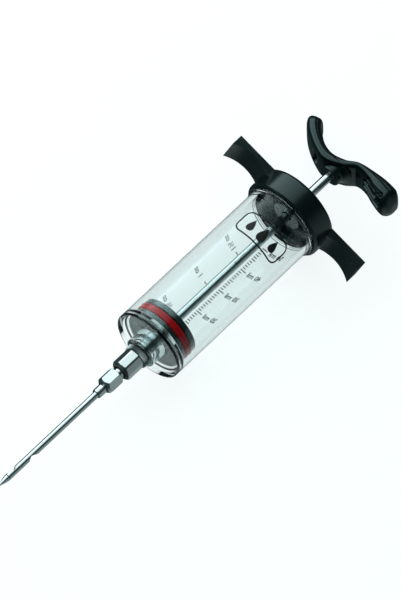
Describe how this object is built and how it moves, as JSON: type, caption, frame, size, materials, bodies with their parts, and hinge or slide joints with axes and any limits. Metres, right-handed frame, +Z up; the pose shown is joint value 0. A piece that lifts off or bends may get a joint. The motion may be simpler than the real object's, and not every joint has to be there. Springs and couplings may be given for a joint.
{
  "type": "meat injector",
  "caption": "Clear-barrelled meat injector with a pointed steel needle, black finger wings, a piston with a red seal and a shaped pull handle.",
  "frame": {"origin": "bottom centre of the overall box, with the injector lying level on its side and the wings horizontal", "axes": "+X along the barrel towards the pull handle, +Y along the finger wings, +Z up; the barrel's axis runs along X at z = 0.01976"},
  "size_m": [0.2294, 0.0756, 0.0395],
  "materials": {
    "clear_plastic": "clear moulded polycarbonate, polished",
    "stainless_steel": "bright stainless steel, fine polish lines",
    "black_plastic": "black moulded nylon, satin",
    "red_silicone": "red silicone rubber, smooth",
    "black_rubber": "black rubber, matt",
    "plated_brass": "nickel-plated brass"
  },
  "bodies": {
    "barrel": {"barrel": "clear_plastic", "nozzle": "stainless_steel", "lock_ring": "stainless_steel", "nozzle_washer": "black_rubber", "needle_gasket": "black_rubber"},
    "needle_seal": {"needle_ring": "black_rubber"},
    "needle": {"needle_tip": "stainless_steel", "needle_tube": "stainless_steel", "needle_sleeve": "stainless_steel", "needle_hub": "stainless_steel"},
    "cap_seal": {"cap_gasket": "black_rubber"},
    "cap": {"finger_cap": "black_plastic", "guide_bush": "black_plastic", "bush_nut": "stainless_steel", "rod_wiper": "black_rubber"},
    "piston": {"piston_seal": "red_silicone"},
    "plunger": {"piston_front_plate": "black_plastic", "piston_core": "black_plastic", "piston_back_plate": "black_plastic", "piston_washer": "stainless_steel", "plunger_rod": "stainless_steel", "handle": "black_plastic", "handle_insert": "plated_brass"}
  },
  "joints": [
    {"name": "plunger_slide", "type": "slide", "parent": "barrel", "child": "piston", "axis": [1, 0, 0], "range_m": [0, 0.0728]},
    {"name": "handle_turn", "type": "hinge", "parent": "piston", "child": "plunger", "pos_m": [0, 0, 0.01976], "axis": [1, 0, 0], "continuous": true},
    {"name": "needle_advance", "type": "slide", "parent": "barrel", "child": "needle_seal", "axis": [-1, 0, 0], "range_m": [0, 0.0025]},
    {"name": "needle_unscrew", "type": "hinge", "parent": "needle_seal", "child": "needle", "pos_m": [0, 0, 0.01976], "axis": [-1, 0, 0], "range_deg": [0, 720]},
    {"name": "cap_advance", "type": "slide", "parent": "barrel", "child": "cap_seal", "axis": [1, 0, 0], "range_m": [0, 0.0045]},
    {"name": "cap_unscrew", "type": "hinge", "parent": "cap_seal", "child": "cap", "pos_m": [0, 0, 0.01976], "axis": [1, 0, 0], "range_deg": [0, 540]}
  ],
  "couplings": [
    {"joint": "needle_unscrew", "follows": "needle_advance", "rad_per_m": 5026.5},
    {"joint": "cap_advance", "follows": "cap_unscrew", "m_per_rad": 0.00047746}
  ]
}
